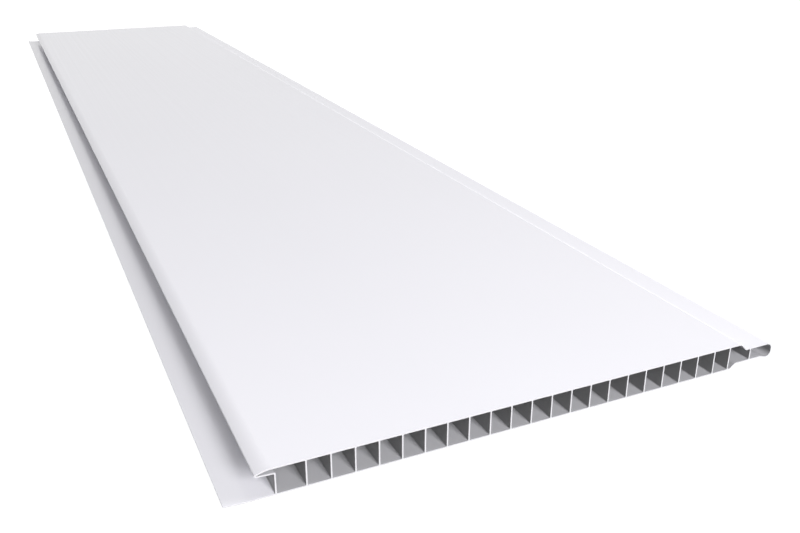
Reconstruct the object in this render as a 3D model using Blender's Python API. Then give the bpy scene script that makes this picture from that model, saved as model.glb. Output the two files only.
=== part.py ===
"""Hollow plastic lining panel, one extruded length of white PVC.

The section is drawn once in the (u, z) plane and pushed along the panel's length.
u runs across the panel from the outer face of the groove's wall, z up from the back face.
The panel lies on its back face. The tongue is at its +X edge, the hook and flange at -X.
Sizes are in metres.
"""

import math

import bmesh
import bpy
from mathutils import Vector

# Whole panel
LENGTH = 1.000              # cut length
COVER_WIDTH = 0.200         # what one panel covers, from its groove's wall to the next panel's
TIP_PLAY = 0.0006           # how far the tongue's tip stops short of that
THICKNESS = 0.010           # back face to visible face

# Walls and the webs between the cells
SKIN = 0.0005               # visible face, back face, hook, tongue and flange
WEB = 0.0005                # upright webs
WEB_PITCH = 0.008           # from web to web, middle to middle
FIRST_WEB = 0.010           # groove's wall to the middle of the first web
LAST_WEB = 0.0219           # tongue's tip back to the middle of the last full web
CELL_FILLET = 0.0003        # corners inside the cells

# Tongue, each length taken back from its tip
TONGUE_TOP = 0.0135         # foot of the step in the visible face
TONGUE_UNDER = 0.0182       # head of the undercut in the back face
TONGUE_WEB = 0.0113         # middle of the tongue's own web
STEP_DROP = 0.0027          # visible face down to the tongue's top
STEP_SLOPE = math.radians(46)
STEP_CROWN = 0.0030         # radius where the visible face turns down
STEP_FOOT = 0.0007          # radius where the step meets the tongue
UNDERCUT_RISE = 0.0019      # back face up to the tongue's underside
UNDERCUT_SLOPE = math.radians(40)
UNDERCUT_RADIUS = 0.0014    # both bends of the undercut
LIP_LENGTH = 0.0056         # where the locking lip under the tip begins
LIP_RAMP = 0.0028           # run of the ramp down to it
LIP_DEPTH = 0.0008          # how far it hangs below the tongue
LIP_RADIUS = 0.0020
NOSE_RADIUS = 0.0027        # the tip is turned over nearly as a half-round
CHEEK_RADIUS = 0.0033       # its lower half is a little fuller

# Hook over the groove
FIT_GAP = 0.0003            # play over a neighbour's tongue inside the groove
HOOK_REACH = 0.006          # how far the hook stands out from the groove's wall
HOOK_RISE = 0.00036         # its underside opens by this much toward the tip
HOOK_DROOP = 0.00105        # how far the visible face bends down to the tip
HOOK_BEND = 0.0033          # hook's tip back to the middle of that bend
HOOK_BEND_RADIUS = 0.0135
HOOK_EDGE = 0.0004          # radius of the tip
GROOVE_FILLET = 0.0003      # both corners at the back of the groove

# Fixing flange
FLANGE_WIDTH = 0.016        # groove's wall to the flange's free edge
CURL_RISE = 0.0005          # how far the free edge curls up
CURL_BEND = 0.0039          # free edge back to the middle of the curl
CURL_RADIUS = 0.055
FLANGE_EDGE = 0.0002        # radius of the free edge

# Arcs are drawn as chords that stay this close to them
CHORD_ERROR = 0.00001
CHORD_TURN = math.radians(22.5)

COLOUR = (0.87, 0.87, 0.90, 1.0)
ROUGHNESS = 0.22


def tip_place():
    """Where the tongue's tip stands across the panel."""
    return COVER_WIDTH - TIP_PLAY


def body_corners():
    """Corners of the closed body, anticlockwise, each as (u, z, radius)."""
    tip = tip_place()
    tongue_top = THICKNESS - STEP_DROP
    hook_under = tongue_top + FIT_GAP
    undercut_run = UNDERCUT_RISE / math.tan(UNDERCUT_SLOPE)
    step_run = STEP_DROP / math.tan(STEP_SLOPE)
    lip_low = UNDERCUT_RISE - LIP_DEPTH
    return [
        (0.0, 0.0, 0.0),
        (tip - TONGUE_UNDER - undercut_run, 0.0, UNDERCUT_RADIUS),
        (tip - TONGUE_UNDER, UNDERCUT_RISE, UNDERCUT_RADIUS),
        (tip - LIP_LENGTH, UNDERCUT_RISE, LIP_RADIUS),
        (tip - LIP_LENGTH + LIP_RAMP, lip_low, LIP_RADIUS),
        (tip, lip_low, CHEEK_RADIUS),
        (tip, tongue_top, NOSE_RADIUS),
        (tip - TONGUE_TOP, tongue_top, STEP_FOOT),
        (tip - TONGUE_TOP - step_run, THICKNESS, STEP_CROWN),
        (-HOOK_REACH + HOOK_BEND, THICKNESS, HOOK_BEND_RADIUS),
        (-HOOK_REACH, THICKNESS - HOOK_DROOP, HOOK_EDGE),
        (-HOOK_REACH, hook_under + HOOK_RISE, HOOK_EDGE),
        (0.0, hook_under, GROOVE_FILLET),
    ]


def flange_corners():
    """Corners of the flange, from the groove's foot round its free edge to the back face."""
    free = -FLANGE_WIDTH
    return [
        (0.0, SKIN, GROOVE_FILLET),
        (free + CURL_BEND, SKIN, CURL_RADIUS),
        (free, SKIN + CURL_RISE, FLANGE_EDGE),
        (free, CURL_RISE, FLANGE_EDGE),
        (free + CURL_BEND, 0.0, CURL_RADIUS),
    ]


def web_middles():
    """Even webs from the first one, then the last full web and the tongue's own."""
    last = tip_place() - LAST_WEB
    count = max(1, round((last - FIRST_WEB) / WEB_PITCH))
    even = [FIRST_WEB + i * WEB_PITCH for i in range(count)]
    return even + [last, tip_place() - TONGUE_WEB]


def turn_at(corners, i):
    """Signed turn at a corner, positive to the left."""
    here = Vector(corners[i][:2])
    arriving = here - Vector(corners[i - 1][:2])
    leaving = Vector(corners[(i + 1) % len(corners)][:2]) - here
    return math.atan2(arriving.x * leaving.y - arriving.y * leaving.x, arriving.dot(leaving))


def crossing(point_a, along_a, point_b, along_b):
    """Where two straight lines cross."""
    across = along_a.x * along_b.y - along_a.y * along_b.x
    gap = point_b - point_a
    return point_a + along_a * ((gap.x * along_b.y - gap.y * along_b.x) / across)


def inset(corners, wall):
    """Move every side inward by a wall's thickness, and drop a side that has no room left.

    A bend keeps the wall's thickness all round, and a tight corner gets the cells' own fillet.
    """
    count = len(corners)
    sides = []
    for i in range(count):
        start = Vector(corners[i][:2])
        along = (Vector(corners[(i + 1) % count][:2]) - start).normalized()
        radius = corners[i][2]
        if radius > wall:
            radius += -wall if turn_at(corners, i) > 0 else wall
        else:
            radius = CELL_FILLET
        sides.append((start + Vector((-along.y, along.x)) * wall, along, max(radius, CELL_FILLET)))
    while True:
        points = []
        for i, (start, along, radius) in enumerate(sides):
            before = sides[i - 1]
            points.append((*crossing(before[0], before[1], start, along), radius))
        lengths = []
        for i, (start, along, radius) in enumerate(sides):
            end = Vector(points[(i + 1) % len(points)][:2])
            lengths.append((end - Vector(points[i][:2])).dot(along))
        shortest = min(range(len(sides)), key=lengths.__getitem__)
        if lengths[shortest] > 0:
            return points
        del sides[shortest]


def cut_at(corners, limit, side):
    """Keep what lies left (side -1) or right (side 1) of an upright line."""
    kept = []
    for i, (u, z, radius) in enumerate(corners):
        last_u, last_z, _ = corners[i - 1]
        if (u - limit) * (last_u - limit) < 0:
            share = (limit - last_u) / (u - last_u)
            kept.append((limit, last_z + share * (z - last_z), CELL_FILLET))
        if (u - limit) * side > 0:
            kept.append((u, z, radius))
    return kept


def rounded(corners):
    """Points along a closed run of sides, with each corner turned as an arc."""
    count = len(corners)
    reaches = [corner[2] * math.tan(abs(turn_at(corners, i)) / 2) for i, corner in enumerate(corners)]
    points = []
    for i, (u, z, radius) in enumerate(corners):
        here = Vector((u, z))
        before = Vector(corners[i - 1][:2]) - here
        after = Vector(corners[(i + 1) % count][:2]) - here
        turn = turn_at(corners, i)
        reach = reaches[i]
        if reach <= 0:
            points.append(here)
            continue
        for side, other in ((before, reaches[i - 1]), (after, reaches[(i + 1) % count])):
            room = 0.98 * side.length
            reach = min(reach, room * reaches[i] / max(reaches[i] + other, room))
        radius = reach / math.tan(abs(turn) / 2)
        step = min(CHORD_TURN, 2 * math.acos(1 - min(1, CHORD_ERROR / radius)))
        chords = max(1, math.ceil(abs(turn) / step))
        start = here + before.normalized() * reach
        inward = Vector((before.y, -before.x)).normalized() * (1 if turn > 0 else -1)
        centre = start + inward * radius
        spoke = start - centre
        for j in range(chords + 1):
            angle = turn * j / chords
            swing = (math.cos(angle), math.sin(angle))
            points.append(centre + Vector((
                spoke.x * swing[0] - spoke.y * swing[1],
                spoke.x * swing[1] + spoke.y * swing[0],
            )))
    return points


def cell_outlines(body):
    """The hollow inside the skins, parted into cells by the webs."""
    hollow = inset(body, SKIN)
    middles = web_middles()
    outlines = []
    for left, right in zip([None] + middles, middles + [None]):
        cell = hollow
        if left is not None:
            cell = cut_at(cell, left + WEB / 2, 1)
        if right is not None:
            cell = cut_at(cell, right - WEB / 2, -1)
        outlines.append(rounded(cell))
    return outlines


def extrude_section(name, outlines, middle, length):
    """Fill the first outline less the others, and push it along Y."""
    mesh = bpy.data.meshes.new(name)
    bm = bmesh.new()
    edges = []
    for outline in outlines:
        ring = [bm.verts.new((p.x - middle, -length / 2, p.y)) for p in outline]
        edges += [bm.edges.new((ring[i - 1], ring[i])) for i in range(len(ring))]
    bmesh.ops.triangle_fill(bm, use_beauty=True, use_dissolve=False, edges=edges)
    pushed = bmesh.ops.extrude_face_region(bm, geom=bm.faces[:])
    far = [item for item in pushed["geom"] if isinstance(item, bmesh.types.BMVert)]
    bmesh.ops.translate(bm, verts=far, vec=(0, length, 0))
    bmesh.ops.recalc_face_normals(bm, faces=bm.faces[:])
    bm.to_mesh(mesh)
    bm.free()
    mesh.shade_smooth()
    mesh.set_sharp_from_angle(angle=math.radians(35))
    panel = bpy.data.objects.new(name, mesh)
    bpy.context.scene.collection.objects.link(panel)
    return panel


def white_pvc():
    """Smooth, slightly cool white PVC."""
    material = bpy.data.materials.new("white_pvc")
    material.use_nodes = True
    shader = material.node_tree.nodes["Principled BSDF"]
    shader.inputs["Base Color"].default_value = COLOUR
    shader.inputs["Roughness"].default_value = ROUGHNESS
    shader.inputs["Metallic"].default_value = 0.0
    material.diffuse_color = COLOUR
    return material


def main():
    """Build the panel."""
    for old in list(bpy.data.objects):
        bpy.data.objects.remove(old, do_unlink=True)
    body = body_corners()
    outer = rounded(flange_corners() + body[1:])
    middle = (tip_place() - FLANGE_WIDTH) / 2
    panel = extrude_section("hollow_panel", [outer] + cell_outlines(body), middle, LENGTH)
    panel.data.materials.append(white_pvc())


main()
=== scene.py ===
"""Hollow plastic lining panel, dressed for a plain studio.

The panel is one extruded length of white PVC. Its section follows a rule, so a Geometry Nodes tree
makes it: the corners of the outlines are rounded, the even cells are repeated across the panel, and the
section is filled and pushed along the length. The saw's chamfer on both cut ends and straight normals on
the flat walls follow. Lengths are in metres.
"""

import logging
import math
from dataclasses import dataclass, field
from enum import Enum
from typing import Any, NamedTuple, Sequence

import bpy
from mathutils import Matrix, Vector

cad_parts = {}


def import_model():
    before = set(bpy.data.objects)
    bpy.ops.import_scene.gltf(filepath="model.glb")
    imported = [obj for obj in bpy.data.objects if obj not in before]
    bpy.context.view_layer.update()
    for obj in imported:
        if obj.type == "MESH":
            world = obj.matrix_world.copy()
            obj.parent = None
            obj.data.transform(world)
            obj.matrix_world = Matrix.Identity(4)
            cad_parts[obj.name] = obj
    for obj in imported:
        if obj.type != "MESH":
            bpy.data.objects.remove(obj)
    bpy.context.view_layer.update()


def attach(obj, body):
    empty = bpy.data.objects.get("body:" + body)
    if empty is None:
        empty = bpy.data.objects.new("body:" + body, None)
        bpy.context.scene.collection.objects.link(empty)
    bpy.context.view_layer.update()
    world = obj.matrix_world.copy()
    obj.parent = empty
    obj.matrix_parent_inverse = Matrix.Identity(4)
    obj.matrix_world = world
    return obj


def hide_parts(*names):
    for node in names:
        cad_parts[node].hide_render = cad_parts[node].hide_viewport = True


log = logging.getLogger("hollow_panel")

FRAME_WIDTH_PX = 800

WHITE = (1.0, 1.0, 1.0, 1.0)
WELD_DISTANCE = 1e-7
NOISE_DETAIL = 3.0
NOISE_LOW = 0.3
NOISE_HIGH = 0.7


class Corner(NamedTuple):
    """One corner of an outline: across the panel, up from its back face, and its radius."""

    u: float
    z: float
    radius: float

    def place(self) -> Vector:
        """Where the corner stands in the section."""
        return Vector((self.u, self.z))


class Side(Enum):
    """Which side of an upright cut is kept."""

    LEFT = -1
    RIGHT = 1


class Mask(Enum):
    """Face attributes that tell the finish how much painted shade an inner wall takes and which faces are
    sawn ends.
    """

    INNER_WALL = "inner_wall"
    SAWN_END = "sawn_end"


class Use(Enum):
    """What an outline is for: its corners' attribute in the extrusion tree."""

    FILL = "fill"
    # Outlines whose walls take painted shade.
    INNER = "inner"


class Blend(Enum):
    """What a Mix node blends: its data type, the places of its two inputs and of its output."""

    COLOUR = ("RGBA", 6, 7, 2)
    NUMBER = ("FLOAT", 2, 3, 0)


class Input(Enum):
    """Named inputs of the extrusion tree, with their socket types."""

    LENGTH = ("Length", "NodeSocketFloat")
    CELL_WIDTH = ("Cell Width", "NodeSocketFloat")
    CELL_HEIGHT = ("Cell Height", "NodeSocketFloat")
    CELL_FILLET = ("Cell Fillet", "NodeSocketFloat")
    CELL_CHORDS = ("Cell Chords", "NodeSocketInt")
    CELL_PITCH = ("Cell Pitch", "NodeSocketFloat")
    CELL_COUNT = ("Cell Count", "NodeSocketInt")
    FIRST_CELL = ("First Cell", "NodeSocketFloat")
    CELL_FLOOR = ("Cell Floor", "NodeSocketFloat")
    WALL = ("Wall", "NodeSocketFloat")
    LEVEL_SHADE = ("Level Shade", "NodeSocketFloat")
    FINISH = ("Finish", "NodeSocketMaterial")


class NodeBench:
    """Adds and links nodes in one tree."""

    def __init__(self, tree: bpy.types.NodeTree) -> None:
        """Start on a tree.

        Args:
            tree: The node tree to fill.
        """
        self.tree = tree

    def add(self, kind: str, settings: dict[str, Any] | None = None, **sockets: Any) -> bpy.types.Node:
        """Add one node, set it, and feed its inputs.

        Args:
            kind: Blender's name of the node type.
            settings: Properties of the node itself.
            sockets: Inputs by name with spaces as underscores, each a value or another node's output.

        Returns:
            The new node.
        """
        node = self.tree.nodes.new(kind)
        for name, value in (settings or {}).items():
            setattr(node, name, value)
        for name, value in sockets.items():
            socket = next(s for s in node.inputs if s.enabled and s.name.replace(" ", "_") == name)
            self.feed(value, socket)
        return node

    def feed(self, value: Any, socket: bpy.types.NodeSocket) -> None:
        """Link another node's output to an input, or set the input to a plain value.

        Args:
            value: The output or the value.
            socket: The input.
        """
        if isinstance(value, bpy.types.NodeSocket):
            self.tree.links.new(value, socket)
        else:
            socket.default_value = value

    def work_out(self, kind: str, operation: str, *values: Any) -> bpy.types.NodeSocket:
        """Add a node that works out one result from its first inputs.

        Args:
            kind: Blender's name of the node type.
            operation: What the node does.
            values: Its inputs in order, each a value or another node's output.

        Returns:
            The result.
        """
        node = self.add(kind, {"operation": operation})
        for value, socket in zip(values, node.inputs):
            self.feed(value, socket)
        return node.outputs[0]

    def joined(self, *parts: bpy.types.NodeSocket) -> bpy.types.NodeSocket:
        """Join several geometries.

        Args:
            parts: The outputs that carry them.

        Returns:
            All of them as one geometry.
        """
        join = self.add("GeometryNodeJoinGeometry")
        for part in parts:
            self.tree.links.new(part, join.inputs[0])
        return join.outputs[0]


@dataclass(frozen=True)
class Look:
    """Colour and roughness of one kind of surface."""

    colour: tuple[float, float, float, float]
    roughness: float


@dataclass(frozen=True)
class PvcFinish:
    """White PVC: a glossy skin with faint die lines, painted shade on the inner walls, and matt sawn ends
    whose grey is partly painted shade.
    """

    name: str = "glossy_white_pvc"
    skin: Look = Look((0.87, 0.862, 0.915, 1.0), 0.17)
    # Inner walls: the grey colour is painted shade inside the cells and the groove; the matt roughness is
    # their own.
    web: Look = Look((0.26, 0.26, 0.265, 1.0), 0.50)
    # Sawn ends: the matt roughness is their own; their colour is darker than the skin as painted shade on
    # the brightly lit cut faces.
    sawn: Look = Look((0.56, 0.556, 0.58, 1.0), 0.62)
    tone_swing: float = 0.012
    cloud_width: float = 0.09
    cloud_run: float = 0.30
    gloss_swing: float = 0.04
    die_line_pitch: float = 0.0016
    die_line_run: float = 0.6
    die_line_depth: float = 0.0000015
    saw_mark_pitch: float = 0.00035
    saw_mark_run: float = 0.004
    saw_mark_tilt: float = math.radians(28)
    saw_mark_depth: float = 0.00002

    def streaks(
        self, bench: NodeBench, place: bpy.types.NodeSocket,
        stride: tuple[float, float, float], tilt: float = 0.0,
    ) -> bpy.types.NodeSocket:
        """Draw noise out along a direction.

        Args:
            bench: The material's tree.
            place: Object coordinates.
            stride: Length of the pattern along each axis.
            tilt: Turn about the panel's length.

        Returns:
            A value round one half.
        """
        drawn = bench.add("ShaderNodeMapping", Vector=place, Rotation=(0.0, tilt, 0.0))
        drawn.inputs["Scale"].default_value = tuple(1 / length for length in stride)
        noise = bench.add("ShaderNodeTexNoise", Vector=drawn.outputs[0], Scale=1.0, Detail=NOISE_DETAIL)
        return noise.outputs[0]

    def spread(
        self, bench: NodeBench, noise: bpy.types.NodeSocket, low: float, high: float
    ) -> bpy.types.NodeSocket:
        """Bring a noise to a range.

        Args:
            bench: The material's tree.
            noise: The noise, which lies round one half.
            low: Least value of the range.
            high: Greatest value of the range.

        Returns:
            The noise in that range.
        """
        ranged = bench.add(
            "ShaderNodeMapRange", Value=noise, From_Min=NOISE_LOW, From_Max=NOISE_HIGH,
            To_Min=low, To_Max=high,
        )
        return ranged.outputs[0]

    def blended(
        self, bench: NodeBench, blend: Blend, values: Sequence[Any], masks: dict[Mask, bpy.types.NodeSocket]
    ) -> bpy.types.NodeSocket:
        """Go from the skin's value to the inner walls' and the sawn ends' values, by the painted-shade mask
        and the sawn ends' mask.

        Args:
            bench: The material's tree.
            blend: What is blended.
            values: The skin's, the inner walls' and the sawn ends' value.
            masks: The inner walls' painted-shade mask and the sawn ends' mask.

        Returns:
            The value at each place.
        """
        data_type, first, last, result = blend.value
        here, web, sawn = values
        for mask, value in ((Mask.INNER_WALL, web), (Mask.SAWN_END, sawn)):
            mix = bench.add("ShaderNodeMix", {"data_type": data_type})
            bench.feed(masks[mask], mix.inputs[0])
            bench.feed(here, mix.inputs[first])
            bench.feed(value, mix.inputs[last])
            here = mix.outputs[result]
        return here

    def tone(
        self, bench: NodeBench, place: bpy.types.NodeSocket, masks: dict[Mask, bpy.types.NodeSocket]
    ) -> bpy.types.NodeSocket:
        """Colour every surface, with faint clouds, and with painted shade on the inner walls and sawn ends.

        Args:
            bench: The material's tree.
            place: Object coordinates.
            masks: The inner walls' painted-shade mask and the sawn ends' mask.

        Returns:
            The colour.
        """
        clouds = self.streaks(bench, place, (self.cloud_width, self.cloud_run, self.cloud_width))
        colours = (self.skin.colour, self.web.colour, self.sawn.colour)
        toned = bench.add("ShaderNodeVectorMath", {"operation": "SCALE"})
        bench.feed(self.blended(bench, Blend.COLOUR, colours, masks), toned.inputs["Vector"])
        bench.feed(self.spread(bench, clouds, 1 - self.tone_swing, 1.0), toned.inputs["Scale"])
        return toned.outputs[0]

    def gloss(
        self, bench: NodeBench, die_lines: bpy.types.NodeSocket, masks: dict[Mask, bpy.types.NodeSocket]
    ) -> bpy.types.NodeSocket:
        """Roughen every surface, along the die lines on the skin.

        Args:
            bench: The material's tree.
            die_lines: The die lines' pattern.
            masks: The inner walls' painted-shade mask and the sawn ends' mask.

        Returns:
            The roughness.
        """
        skin = self.spread(bench, die_lines, self.skin.roughness, self.skin.roughness + self.gloss_swing)
        return self.blended(bench, Blend.NUMBER, (skin, self.web.roughness, self.sawn.roughness), masks)

    def relief(
        self, bench: NodeBench, place: bpy.types.NodeSocket,
        die_lines: bpy.types.NodeSocket, sawn_end: bpy.types.NodeSocket,
    ) -> bpy.types.NodeSocket:
        """Raise die lines along the panel, and saw marks on its cut ends.

        Args:
            bench: The material's tree.
            place: Object coordinates.
            die_lines: The die lines' pattern.
            sawn_end: The mask of the sawn ends.

        Returns:
            The normal.
        """
        stride = (self.saw_mark_run, self.saw_mark_run, self.saw_mark_pitch)
        saw_marks = self.streaks(bench, place, stride, self.saw_mark_tilt)
        drawn = bench.add("ShaderNodeBump", Strength=1.0, Distance=self.die_line_depth, Height=die_lines)
        scored = bench.add(
            "ShaderNodeBump", Strength=1.0, Distance=self.saw_mark_depth,
            Height=bench.work_out("ShaderNodeMath", "MULTIPLY", saw_marks, sawn_end),
            Normal=drawn.outputs[0],
        )
        return scored.outputs[0]

    def material(self) -> bpy.types.Material:
        """Build the procedural material.

        Returns:
            The finished material.
        """
        material = bpy.data.materials.new(self.name)
        material.use_nodes = True
        bench = NodeBench(material.node_tree)
        shader = material.node_tree.nodes["Principled BSDF"]
        place = bench.add("ShaderNodeTexCoord").outputs["Object"]
        masks = {
            mask: bench.add("ShaderNodeAttribute", {"attribute_name": mask.value}).outputs["Fac"]
            for mask in Mask
        }
        die_lines = self.streaks(bench, place, (self.die_line_pitch, self.die_line_run, self.die_line_pitch))
        bench.feed(self.tone(bench, place, masks), shader.inputs["Base Color"])
        bench.feed(self.gloss(bench, die_lines, masks), shader.inputs["Roughness"])
        bench.feed(self.relief(bench, place, die_lines, masks[Mask.SAWN_END]), shader.inputs["Normal"])
        return material


@dataclass
class PanelSection:
    """The panel's section, with the same sizes as the solid."""

    # Width, thickness, walls and webs, with the last web taken back from the tongue's tip
    cover_width: float = 0.200
    tip_play: float = 0.0006
    thickness: float = 0.010
    skin: float = 0.0005
    web: float = 0.0005
    web_pitch: float = 0.008
    first_web: float = 0.010
    last_web: float = 0.0219
    cell_fillet: float = 0.0003

    # Tongue, each place taken back from its tip
    tongue_top: float = 0.0135
    tongue_under: float = 0.0182
    tongue_web: float = 0.0113
    step_drop: float = 0.0027
    step_slope: float = math.radians(46)
    step_crown: float = 0.0030
    step_foot: float = 0.0007
    undercut_rise: float = 0.0019
    undercut_slope: float = math.radians(40)
    undercut_radius: float = 0.0014
    lip_length: float = 0.0056
    lip_ramp: float = 0.0028
    lip_depth: float = 0.0008
    lip_radius: float = 0.0020
    nose_radius: float = 0.0027
    cheek_radius: float = 0.0033

    # Hook over the groove, with its bend taken back from its tip
    fit_gap: float = 0.0003
    hook_reach: float = 0.006
    hook_rise: float = 0.00036
    hook_droop: float = 0.00105
    hook_bend: float = 0.0033
    hook_bend_radius: float = 0.0135
    hook_edge: float = 0.0004
    groove_fillet: float = 0.0003

    # Fixing flange, with its curl taken back from its free edge
    flange_width: float = 0.016
    curl_rise: float = 0.0005
    curl_bend: float = 0.0039
    curl_radius: float = 0.055
    flange_edge: float = 0.0002

    def tip(self) -> float:
        """Where the tongue's tip stands across the panel."""
        return self.cover_width - self.tip_play

    def middle(self) -> float:
        """Middle of the overall width, which is the part's own zero across."""
        return (self.tip() - self.flange_width) / 2

    def body(self) -> list[Corner]:
        """Draw the closed body, anticlockwise from the foot of the groove's wall.

        Returns:
            Its corners.
        """
        tip = self.tip()
        top = self.thickness - self.step_drop
        under = top + self.fit_gap
        rise = self.undercut_rise
        low = rise - self.lip_depth
        undercut_run = rise / math.tan(self.undercut_slope)
        step_run = self.step_drop / math.tan(self.step_slope)
        return [
            Corner(0.0, 0.0, 0.0),
            Corner(tip - self.tongue_under - undercut_run, 0.0, self.undercut_radius),
            Corner(tip - self.tongue_under, rise, self.undercut_radius),
            Corner(tip - self.lip_length, rise, self.lip_radius),
            Corner(tip - self.lip_length + self.lip_ramp, low, self.lip_radius),
            Corner(tip, low, self.cheek_radius),
            Corner(tip, top, self.nose_radius),
            Corner(tip - self.tongue_top, top, self.step_foot),
            Corner(tip - self.tongue_top - step_run, self.thickness, self.step_crown),
            Corner(self.hook_bend - self.hook_reach, self.thickness, self.hook_bend_radius),
            Corner(-self.hook_reach, self.thickness - self.hook_droop, self.hook_edge),
            Corner(-self.hook_reach, under + self.hook_rise, self.hook_edge),
            Corner(0.0, under, self.groove_fillet),
        ]

    def flange(self) -> list[Corner]:
        """Draw the flange, from the groove's foot round its free edge.

        Returns:
            Its corners.
        """
        free = -self.flange_width
        return [
            Corner(0.0, self.skin, self.groove_fillet),
            Corner(free + self.curl_bend, self.skin, self.curl_radius),
            Corner(free, self.skin + self.curl_rise, self.flange_edge),
            Corner(free, self.curl_rise, self.flange_edge),
            Corner(free + self.curl_bend, 0.0, self.curl_radius),
        ]

    def outside(self) -> list[Corner]:
        """The whole outer outline."""
        return self.flange() + self.body()[1:]

    def groove_back(self) -> list[Corner]:
        """The hook's underside and the groove's wall, as an open line, along which shade is painted."""
        tip_under, wall_head = self.body()[-2:]
        return [tip_under, wall_head, Corner(0.0, self.skin, 0.0)]

    def end_webs(self) -> list[float]:
        """Middles of the last full web and of the tongue's own."""
        return [self.tip() - self.last_web, self.tip() - self.tongue_web]

    def even_webs(self) -> list[float]:
        """Place the webs that stand at full pitch, from the first one on.

        Returns:
            Their middles across the panel.
        """
        room = self.end_webs()[0] - self.first_web
        count = max(1, round(room / self.web_pitch))
        return [self.first_web + i * self.web_pitch for i in range(count)]

    def odd_cells(self) -> list[list[Corner]]:
        """Draw the cells that differ from the even run: first, last, step and tongue.

        Returns:
            One closed outline for each.
        """
        hollow = inset(self.body(), self.skin, self.cell_fillet)
        half = self.web / 2
        outlines = [cut_at(hollow, self.first_web - half, Side.LEFT, self.cell_fillet)]
        webs = [self.even_webs()[-1], *self.end_webs()]
        for left, right in zip(webs, [*webs[1:], None]):
            cell = cut_at(hollow, left + half, Side.RIGHT, self.cell_fillet)
            if right is not None:
                cell = cut_at(cell, right - half, Side.LEFT, self.cell_fillet)
            outlines.append(cell)
        return outlines


def turn_at(corners: Sequence[Corner], i: int) -> float:
    """Measure the turn at a corner of a closed outline.

    Args:
        corners: The outline.
        i: Number of the corner.

    Returns:
        The signed angle, positive to the left.
    """
    here = corners[i].place()
    arriving = here - corners[i - 1].place()
    leaving = corners[(i + 1) % len(corners)].place() - here
    return math.atan2(arriving.x * leaving.y - arriving.y * leaving.x, arriving.dot(leaving))


def crossing(point_a: Vector, along_a: Vector, point_b: Vector, along_b: Vector) -> Vector:
    """Find where two straight lines cross.

    Args:
        point_a: A point of the first line.
        along_a: Its direction.
        point_b: A point of the second line.
        along_b: Its direction.

    Returns:
        The point that both lines share.
    """
    across = along_a.x * along_b.y - along_a.y * along_b.x
    gap = point_b - point_a
    return point_a + along_a * ((gap.x * along_b.y - gap.y * along_b.x) / across)


def inset(corners: Sequence[Corner], wall: float, least: float) -> list[Corner]:
    """Move every side of an outline inward, as a shell's inner face.

    Args:
        corners: The closed outline, anticlockwise.
        wall: Thickness of the wall. A bend keeps it all round.
        least: Radius of a tight inner corner.

    Returns:
        The inner outline. A side with no room left is dropped.
    """
    count = len(corners)
    sides = []
    for i, corner in enumerate(corners):
        start = corner.place()
        along = (corners[(i + 1) % count].place() - start).normalized()
        radius = corner.radius
        if radius > wall:
            radius += -wall if turn_at(corners, i) > 0 else wall
        else:
            radius = least
        sides.append((start + Vector((-along.y, along.x)) * wall, along, max(radius, least)))
    while True:
        inner = []
        for i, (start, along, radius) in enumerate(sides):
            place = crossing(sides[i - 1][0], sides[i - 1][1], start, along)
            inner.append(Corner(place.x, place.y, radius))
        lengths = []
        for i, (_, along, _) in enumerate(sides):
            end = inner[(i + 1) % len(inner)].place()
            lengths.append((end - inner[i].place()).dot(along))
        shortest = min(range(len(sides)), key=lengths.__getitem__)
        if lengths[shortest] > 0:
            return inner
        del sides[shortest]


def cut_at(corners: Sequence[Corner], limit: float, side: Side, radius: float) -> list[Corner]:
    """Cut a closed outline at an upright line.

    Args:
        corners: The closed outline.
        limit: Place of the line across the panel.
        side: The side that is kept.
        radius: Radius of the corners that the cut makes.

    Returns:
        The outline that is left.
    """
    kept = []
    for i, corner in enumerate(corners):
        last = corners[i - 1]
        if (corner.u - limit) * (last.u - limit) < 0:
            share = (limit - last.u) / (corner.u - last.u)
            kept.append(Corner(limit, last.z + share * (corner.z - last.z), radius))
        if (corner.u - limit) * side.value > 0:
            kept.append(corner)
    return kept


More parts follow.
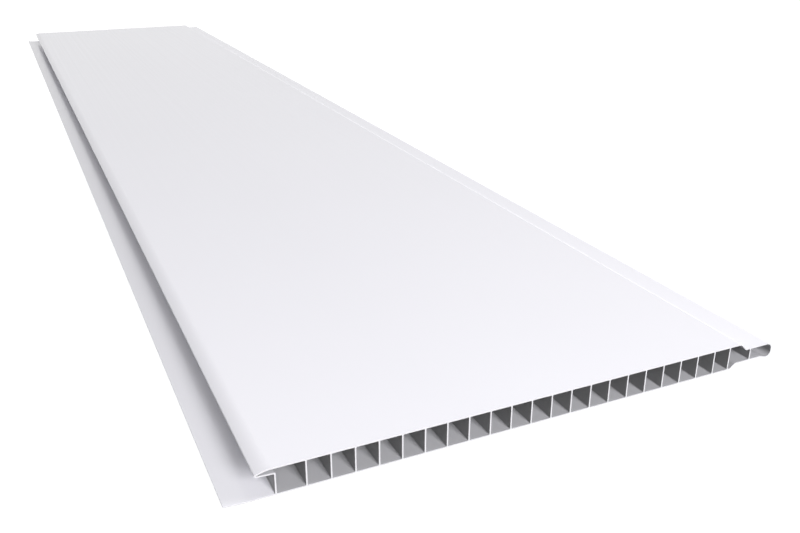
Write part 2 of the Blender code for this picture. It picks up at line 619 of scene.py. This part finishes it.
@dataclass
class HollowPanel:
    """The extruded panel with its cut ends.

    A rounded corner is drawn in chords about as long as `chord`, from the least to the most number.
    """

    section: PanelSection = field(default_factory=PanelSection)
    finish: PvcFinish = field(default_factory=PvcFinish)
    length: float = 1.000
    chord: float = 0.00008
    least_chords: int = 3
    most_chords: int = 24
    cell_chords: int = 5
    saw_chamfer: float = 0.00004
    chamfer_angle: float = math.radians(60)
    crease_angle: float = math.radians(30)
    # Share of the inner walls' painted shade that the level walls take.
    level_shade: float = 0.57
    name: str = "pvc_panel"

    def outlines(self) -> bpy.types.Mesh:
        """Draw the outer outline, the odd cells and the groove's back as loose lines, flat in XY.

        Returns:
            A mesh of edges that carries each corner's radius, its number of chords, and its uses.
        """
        lines = [(self.section.outside(), {Use.FILL})]
        # The cells' walls and the groove's back take painted shade.
        lines += [(cell, {Use.FILL, Use.INNER}) for cell in self.section.odd_cells()]
        lines.append((self.section.groove_back(), {Use.INNER}))
        points: list[tuple[float, float, float]] = []
        edges: list[tuple[int, int]] = []
        radii: list[float] = []
        chords: list[int] = []
        uses: dict[Use, list[bool]] = {use: [] for use in Use}
        for line, wanted in lines:
            start = len(points)
            for i, corner in enumerate(line):
                points.append((corner.u - self.section.middle(), corner.z, 0.0))
                if i + 1 < len(line):
                    edges.append((start + i, start + i + 1))
                elif Use.FILL in wanted:
                    edges.append((start + i, start))
                radii.append(corner.radius)
                arc = corner.radius * abs(turn_at(line, i))
                chords.append(max(self.least_chords, min(self.most_chords, math.ceil(arc / self.chord))))
                for use in Use:
                    uses[use].append(use in wanted)
        mesh = bpy.data.meshes.new(self.name + "_outlines")
        mesh.from_pydata(points, edges, [])
        mesh.attributes.new("radius", "FLOAT", "POINT").data.foreach_set("value", radii)
        mesh.attributes.new("chords", "INT", "POINT").data.foreach_set("value", chords)
        for use, flags in uses.items():
            mesh.attributes.new(use.value, "BOOLEAN", "POINT").data.foreach_set("value", flags)
        return mesh

    def inputs(self, finish: bpy.types.Material) -> dict[Input, Any]:
        """Work out the values of the tree's named inputs.

        Args:
            finish: The panel's material.

        Returns:
            A value for each input.
        """
        part = self.section
        return {
            Input.LENGTH: self.length,
            Input.CELL_WIDTH: part.web_pitch - part.web,
            Input.CELL_HEIGHT: part.thickness - 2 * part.skin,
            Input.CELL_FILLET: part.cell_fillet,
            Input.CELL_CHORDS: self.cell_chords,
            Input.CELL_PITCH: part.web_pitch,
            Input.CELL_COUNT: len(part.even_webs()) - 1,
            Input.FIRST_CELL: part.first_web + part.web_pitch / 2 - part.middle(),
            Input.CELL_FLOOR: part.skin,
            Input.WALL: part.skin,
            Input.LEVEL_SHADE: self.level_shade,
            Input.FINISH: finish,
        }

    def rounded_lines(self, bench: NodeBench, lines: bpy.types.NodeSocket) -> bpy.types.NodeSocket:
        """Round the drawn lines' corners, each by its own radius and number of chords.

        Args:
            bench: The extrusion tree.
            lines: The drawn lines.

        Returns:
            The rounded lines as curves.
        """
        radius = bench.add("GeometryNodeInputNamedAttribute", {"data_type": "FLOAT"}, Name="radius")
        chords = bench.add("GeometryNodeInputNamedAttribute", {"data_type": "INT"}, Name="chords")
        loops = bench.add("GeometryNodeMeshToCurve", Mesh=lines)
        rounded = bench.add(
            "GeometryNodeFilletCurve", {"mode": "POLY"},
            Curve=loops.outputs["Curve"], Radius=radius.outputs["Attribute"],
            Count=chords.outputs["Attribute"], Limit_Radius=True,
        )
        return rounded.outputs["Curve"]

    def cell_row(self, bench: NodeBench, given: dict[Input, bpy.types.NodeSocket]) -> bpy.types.NodeSocket:
        """Repeat the even cell across the panel.

        Args:
            bench: The extrusion tree.
            given: The tree's named inputs.

        Returns:
            The even cells' outlines.
        """
        cell = bench.add(
            "GeometryNodeCurvePrimitiveQuadrilateral", {"mode": "RECTANGLE"},
            Width=given[Input.CELL_WIDTH], Height=given[Input.CELL_HEIGHT],
        )
        rounded = bench.add(
            "GeometryNodeFilletCurve", {"mode": "POLY"},
            Curve=cell.outputs["Curve"], Radius=given[Input.CELL_FILLET],
            Count=given[Input.CELL_CHORDS], Limit_Radius=True,
        )
        half_height = bench.work_out("ShaderNodeMath", "MULTIPLY", given[Input.CELL_HEIGHT], 0.5)
        middle = bench.work_out("ShaderNodeMath", "ADD", half_height, given[Input.CELL_FLOOR])
        start = bench.add("ShaderNodeCombineXYZ", X=given[Input.FIRST_CELL], Y=middle)
        stride = bench.add("ShaderNodeCombineXYZ", X=given[Input.CELL_PITCH])
        row = bench.add(
            "GeometryNodeMeshLine", {"mode": "OFFSET"}, Count=given[Input.CELL_COUNT],
            Start_Location=start.outputs["Vector"], Offset=stride.outputs["Vector"],
        )
        repeated = bench.add(
            "GeometryNodeInstanceOnPoints",
            Points=row.outputs["Mesh"], Instance=rounded.outputs["Curve"],
        )
        cells = bench.add("GeometryNodeRealizeInstances", Geometry=repeated.outputs["Instances"])
        return cells.outputs["Geometry"]

    def lines_for(
        self, bench: NodeBench, use: Use, rounded: bpy.types.NodeSocket, cells: bpy.types.NodeSocket
    ) -> bpy.types.NodeSocket:
        """Take the lines that serve one use, and add the even cells.

        Args:
            bench: The extrusion tree.
            use: What the lines are for.
            rounded: The rounded lines.
            cells: The even cells' outlines.

        Returns:
            The lines for that use.
        """
        wanted = bench.add("GeometryNodeInputNamedAttribute", {"data_type": "BOOLEAN"}, Name=use.value)
        chosen = bench.add(
            "GeometryNodeSeparateGeometry", {"domain": "POINT"},
            Geometry=rounded, Selection=wanted.outputs["Attribute"],
        )
        return bench.joined(chosen.outputs["Selection"], cells)

    def pushed_section(
        self, bench: NodeBench, lines: bpy.types.NodeSocket, length: bpy.types.NodeSocket
    ) -> tuple[bpy.types.NodeSocket, bpy.types.NodeSocket]:
        """Fill the section and push it along the panel's length.

        Args:
            bench: The extrusion tree.
            lines: The section's outlines.
            length: The panel's length.

        Returns:
            The closed panel, and the choice of the faces that run along it.
        """
        filled = bench.add("GeometryNodeFillCurve", {"mode": "TRIANGLES"}, Curve=lines)
        push = bench.add("ShaderNodeCombineXYZ", Z=length)
        pushed = bench.add(
            "GeometryNodeExtrudeMesh", {"mode": "FACES"},
            Mesh=filled.outputs["Mesh"], Offset=push.outputs["Vector"], Individual=False,
        )
        back = bench.add("GeometryNodeFlipFaces", Mesh=filled.outputs["Mesh"])
        closed = bench.joined(pushed.outputs["Mesh"], back.outputs["Mesh"])
        welded = bench.add("GeometryNodeMergeByDistance", Geometry=closed, Distance=WELD_DISTANCE)
        return welded.outputs["Geometry"], pushed.outputs["Side"]

    def inner_shade(
        self, bench: NodeBench, given: dict[Input, bpy.types.NodeSocket],
        rims: bpy.types.NodeSocket, along: bpy.types.NodeSocket,
    ) -> bpy.types.NodeSocket:
        """Paint shade on the walls inside the panel and on the groove's back: fully on the webs, in part on
        the level walls.

        Args:
            bench: The extrusion tree.
            given: The tree's named inputs.
            rims: Lines that the painted-shade walls run along.
            along: The choice of the faces that run along the panel.

        Returns:
            How much painted shade each face takes.
        """
        edges = bench.add("GeometryNodeCurveToMesh", Curve=rims)
        here = bench.add("ShaderNodeSeparateXYZ", Vector=bench.add("GeometryNodeInputPosition").outputs[0])
        flat = bench.add("ShaderNodeCombineXYZ", X=here.outputs["X"], Y=here.outputs["Y"])
        nearest = bench.add(
            "GeometryNodeProximity", {"target_element": "EDGES"},
            Geometry=edges.outputs["Mesh"], Sample_Position=flat.outputs["Vector"],
        )
        reach = bench.work_out("ShaderNodeMath", "MULTIPLY", given[Input.WALL], 0.5)
        touching = bench.work_out("FunctionNodeCompare", "LESS_THAN", nearest.outputs["Distance"], reach)
        inside = bench.work_out("FunctionNodeBooleanMath", "AND", touching, along)
        facing = bench.add("ShaderNodeSeparateXYZ", Vector=bench.add("GeometryNodeInputNormal").outputs[0])
        level = bench.work_out("ShaderNodeMath", "ABSOLUTE", facing.outputs["Y"])
        shade = bench.add("ShaderNodeMapRange", Value=level, To_Min=1.0, To_Max=given[Input.LEVEL_SHADE])
        return bench.work_out("ShaderNodeMath", "MULTIPLY", inside, shade.outputs[0])

    def laid_flat(
        self, bench: NodeBench, upright: bpy.types.NodeSocket, length: bpy.types.NodeSocket
    ) -> bpy.types.NodeSocket:
        """Lay the pushed section down along Y, with its middle at zero.

        Args:
            bench: The extrusion tree.
            upright: The panel as it was pushed, along Z.
            length: The panel's length.

        Returns:
            The panel on its back face.
        """
        half_length = bench.work_out("ShaderNodeMath", "MULTIPLY", length, 0.5)
        shift = bench.add("ShaderNodeCombineXYZ", Y=half_length)
        laid = bench.add(
            "GeometryNodeTransform", Geometry=upright,
            Translation=shift.outputs["Vector"], Rotation=(math.pi / 2, 0.0, 0.0),
        )
        return laid.outputs["Geometry"]

    def extrusion_tree(self) -> tuple[bpy.types.NodeTree, dict[Input, str]]:
        """Build the tree that rounds, repeats, fills and extrudes the section.

        Returns:
            The tree and the identifier of each named input.
        """
        tree = bpy.data.node_groups.new("panel_extrusion", "GeometryNodeTree")
        face = tree.interface
        face.new_socket("Geometry", in_out="INPUT", socket_type="NodeSocketGeometry")
        sockets = {
            item: face.new_socket(item.value[0], in_out="INPUT", socket_type=item.value[1])
            for item in Input
        }
        face.new_socket("Geometry", in_out="OUTPUT", socket_type="NodeSocketGeometry")
        bench = NodeBench(tree)
        entry = bench.add("NodeGroupInput").outputs
        given = {item: entry[item.value[0]] for item in Input}

        rounded = self.rounded_lines(bench, entry["Geometry"])
        cells = self.cell_row(bench, given)
        lines = {use: self.lines_for(bench, use, rounded, cells) for use in Use}
        panel, along = self.pushed_section(bench, lines[Use.FILL], given[Input.LENGTH])
        # Painted shade for the inner walls, and the sawn ends' mask.
        masks = {
            Mask.INNER_WALL: self.inner_shade(bench, given, lines[Use.INNER], along),
            Mask.SAWN_END: bench.work_out("FunctionNodeBooleanMath", "NOT", along),
        }
        for mask, found in masks.items():
            panel = bench.add(
                "GeometryNodeStoreNamedAttribute", {"data_type": "FLOAT", "domain": "FACE"},
                Geometry=panel, Name=mask.value, Value=found,
            ).outputs["Geometry"]
        laid = self.laid_flat(bench, panel, given[Input.LENGTH])
        plain = bench.add("GeometryNodeRealizeInstances", Geometry=laid)
        dressed = bench.add(
            "GeometryNodeSetMaterial", Geometry=plain.outputs["Geometry"], Material=given[Input.FINISH]
        )
        bench.add("NodeGroupOutput", Geometry=dressed.outputs["Geometry"])
        return tree, {item: socket.identifier for item, socket in sockets.items()}

    def freeze(self, panel: bpy.types.Object) -> bpy.types.Mesh:
        """Turn what the modifiers make into the object's own plain mesh.

        Args:
            panel: The object with its modifiers.

        Returns:
            The plain mesh.
        """
        made = panel.evaluated_get(bpy.context.evaluated_depsgraph_get())
        mesh = bpy.data.meshes.new_from_object(made)
        panel.modifiers.clear()
        panel.data = mesh
        mesh.name = self.name
        return mesh

    def build(self) -> bpy.types.Object:
        """Make the panel as one closed plain mesh.

        Returns:
            The finished object, at the origin.
        """
        panel = bpy.data.objects.new(self.name, self.outlines())
        bpy.context.scene.collection.objects.link(panel)
        finish = self.finish.material()
        tree, identifiers = self.extrusion_tree()
        extrusion = panel.modifiers.new("extrusion", "NODES")
        extrusion.node_group = tree
        for item, value in self.inputs(finish).items():
            extrusion[identifiers[item]] = value
        chamfer = panel.modifiers.new("saw_chamfer", "BEVEL")
        chamfer.width = self.saw_chamfer
        chamfer.segments = 1
        chamfer.limit_method = "ANGLE"
        chamfer.angle_limit = self.chamfer_angle
        mesh = self.freeze(panel)
        mesh.shade_smooth()
        mesh.set_sharp_from_angle(angle=self.crease_angle)
        panel.modifiers.new("straight_flats", "WEIGHTED_NORMAL").keep_sharp = True
        mesh = self.freeze(panel)
        log.info("%s: %d faces", self.name, len(mesh.polygons))
        return panel


@dataclass(frozen=True)
class Lamp:
    """Where a lamp stands, in degrees: azimuth from the near cut end's side toward the tongue's."""

    name: str
    azimuth: float
    elevation: float

    def toward(self) -> Vector:
        """Point from the panel to the lamp.

        Returns:
            The unit direction.
        """
        azimuth = math.radians(self.azimuth)
        elevation = math.radians(self.elevation)
        return Vector((
            math.cos(elevation) * math.sin(azimuth),
            -math.cos(elevation) * math.cos(azimuth),
            math.sin(elevation),
        ))

    def hang(self, data: bpy.types.Light, place: Vector) -> bpy.types.Object:
        """Hang the lamp so that it looks back along its direction and stays out of the gloss.

        Args:
            data: The lamp's light.
            place: Where it hangs.

        Returns:
            The lamp.
        """
        lamp = bpy.data.objects.new(self.name, data)
        lamp.location = place
        lamp.rotation_euler = (-self.toward()).to_track_quat("-Z", "Y").to_euler()
        lamp.visible_glossy = False
        bpy.context.scene.collection.objects.link(lamp)
        return lamp


@dataclass(frozen=True)
class SoftBox(Lamp):
    """A soft lamp that looks at a point of the panel, with its power in watts."""

    distance: float
    size: float
    power: float
    aim: tuple[float, float, float]

    def build(self) -> bpy.types.Object:
        """Set up the lamp.

        Returns:
            The lamp.
        """
        data = bpy.data.lights.new(self.name, "AREA")
        data.shape = "SQUARE"
        data.size = self.size
        data.energy = self.power
        return self.hang(data, Vector(self.aim) + self.distance * self.toward())


@dataclass(frozen=True)
class DistantLamp(Lamp):
    """A lamp so far off that its light comes from one direction, spread over some degrees."""

    spread: float
    strength: float

    def build(self) -> bpy.types.Object:
        """Set up the lamp.

        Returns:
            The lamp.
        """
        data = bpy.data.lights.new(self.name, "SUN")
        data.angle = math.radians(self.spread)
        data.energy = self.strength
        return self.hang(data, self.toward())


@dataclass(frozen=True)
class Studio:
    """Plain pale floor, white surroundings and soft lamps."""

    floor_size: float = 30.0
    floor_drop: float = 0.0002
    floor_colour: tuple[float, float, float, float] = (0.35, 0.35, 0.35, 1.0)
    floor_glow: float = 0.90
    surround: float = 0.08
    lamps: tuple[SoftBox | DistantLamp, ...] = (
        DistantLamp("front", azimuth=-5.0, elevation=24.5, spread=40.0, strength=2.16),
        DistantLamp("left", azimuth=-120.0, elevation=45.0, spread=60.0, strength=0.42),
        DistantLamp("back", azimuth=150.0, elevation=45.0, spread=60.0, strength=0.19),
        SoftBox(
            "mouth", azimuth=2.0, elevation=27.0, distance=0.9, size=0.3, power=7.2,
            aim=(0.03, -0.5, 0.0),
        ),
        SoftBox(
            "side", azimuth=85.0, elevation=19.0, distance=3.0, size=1.2, power=56.0,
            aim=(0.0, -0.35, 0.0),
        ),
    )

    def seen_white(self, bench: NodeBench) -> bpy.types.NodeSocket:
        """Tell the rays that see the white background from those that light the panel.

        Args:
            bench: The tree of the world or of the floor's material.

        Returns:
            One where a camera, glossy or transmitted ray looks, and nought elsewhere.
        """
        path = bench.add("ShaderNodeLightPath").outputs
        seen = path["Is Camera Ray"]
        for kind in ("Is Glossy Ray", "Is Transmission Ray"):
            seen = bench.work_out("ShaderNodeMath", "MAXIMUM", seen, path[kind])
        return seen

    def build_world(self) -> None:
        """Light the surroundings evenly, and show them white."""
        world = bpy.data.worlds.new("studio")
        world.use_nodes = True
        world.node_tree.nodes.clear()
        bench = NodeBench(world.node_tree)
        dim = bench.add("ShaderNodeBackground", Color=WHITE, Strength=self.surround)
        white = bench.add("ShaderNodeBackground", Color=WHITE, Strength=1.0)
        mix = bench.add("ShaderNodeMixShader", Fac=self.seen_white(bench))
        bench.feed(dim.outputs[0], mix.inputs[1])
        bench.feed(white.outputs[0], mix.inputs[2])
        bench.add("ShaderNodeOutputWorld", Surface=mix.outputs[0])
        bpy.context.scene.world = world

    def paper(self) -> bpy.types.Material:
        """Make pale paper that glows to white for the camera and keeps its shadows.

        Returns:
            The floor's material.
        """
        material = bpy.data.materials.new("studio_paper")
        material.use_nodes = True
        material.node_tree.nodes.clear()
        bench = NodeBench(material.node_tree)
        matt = bench.add("ShaderNodeBsdfDiffuse", Color=self.floor_colour)
        glow = bench.work_out("ShaderNodeMath", "MULTIPLY", self.seen_white(bench), self.floor_glow)
        white = bench.add("ShaderNodeEmission", Color=WHITE, Strength=glow)
        both = bench.add("ShaderNodeAddShader")
        bench.feed(matt.outputs[0], both.inputs[0])
        bench.feed(white.outputs[0], both.inputs[1])
        bench.add("ShaderNodeOutputMaterial", Surface=both.outputs[0])
        return material

    def build_floor(self) -> None:
        """Lay the floor a hair below the panel."""
        half = self.floor_size / 2
        plan = ((-half, -half), (half, -half), (half, half), (-half, half))
        mesh = bpy.data.meshes.new("studio_floor")
        mesh.from_pydata([(x, y, -self.floor_drop) for x, y in plan], [], [(0, 1, 2, 3)])
        mesh.materials.append(self.paper())
        floor = bpy.data.objects.new("studio_floor", mesh)
        bpy.context.scene.collection.objects.link(floor)

    def build(self) -> None:
        """Set up floor, surroundings and lamps."""
        self.build_world()
        self.build_floor()
        for lamp in self.lamps:
            lamp.build()
        bpy.context.scene.view_settings.view_transform = "Standard"
        log.info("studio: %d lamps", len(self.lamps))


@dataclass(frozen=True)
class PhotoCamera:
    """The camera's place, turn and focal length."""

    place: tuple[float, float, float] = (-0.14548, -0.70526, 0.16326)
    azimuth: float = math.radians(-24.783)
    elevation: float = math.radians(23.046)
    roll: float = math.radians(0.03)
    focal_px: float = 856.15
    sensor: float = 36.0
    nearest: float = 0.01
    farthest: float = 50.0

    def build(self) -> None:
        """Stand the camera and make it the scene's own."""
        data = bpy.data.cameras.new("camera")
        data.sensor_width = self.sensor
        data.lens = self.focal_px * self.sensor / FRAME_WIDTH_PX
        data.clip_start = self.nearest
        data.clip_end = self.farthest
        camera = bpy.data.objects.new("camera", data)
        turn = (
            Matrix.Rotation(self.azimuth, 4, "Z")
            @ Matrix.Rotation(math.pi / 2 - self.elevation, 4, "X")
            @ Matrix.Rotation(self.roll, 4, "Z")
        )
        camera.matrix_world = Matrix.Translation(self.place) @ turn
        bpy.context.scene.collection.objects.link(camera)
        bpy.context.scene.camera = camera


def plain(bounds: Any) -> list[list[float]]:
    """The two corners of a box as plain lists."""
    return [[float(value) for value in corner] for corner in bounds]


def main() -> None:
    """Build the panel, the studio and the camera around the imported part."""
    logging.basicConfig(level=logging.INFO, format="%(name)s: %(message)s")
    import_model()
    panel = HollowPanel().build()
    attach(panel, "root")
    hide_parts("hollow_panel")
    Studio().build()
    PhotoCamera().build()
    log.info("done")


if __name__ == "__main__":
    main()
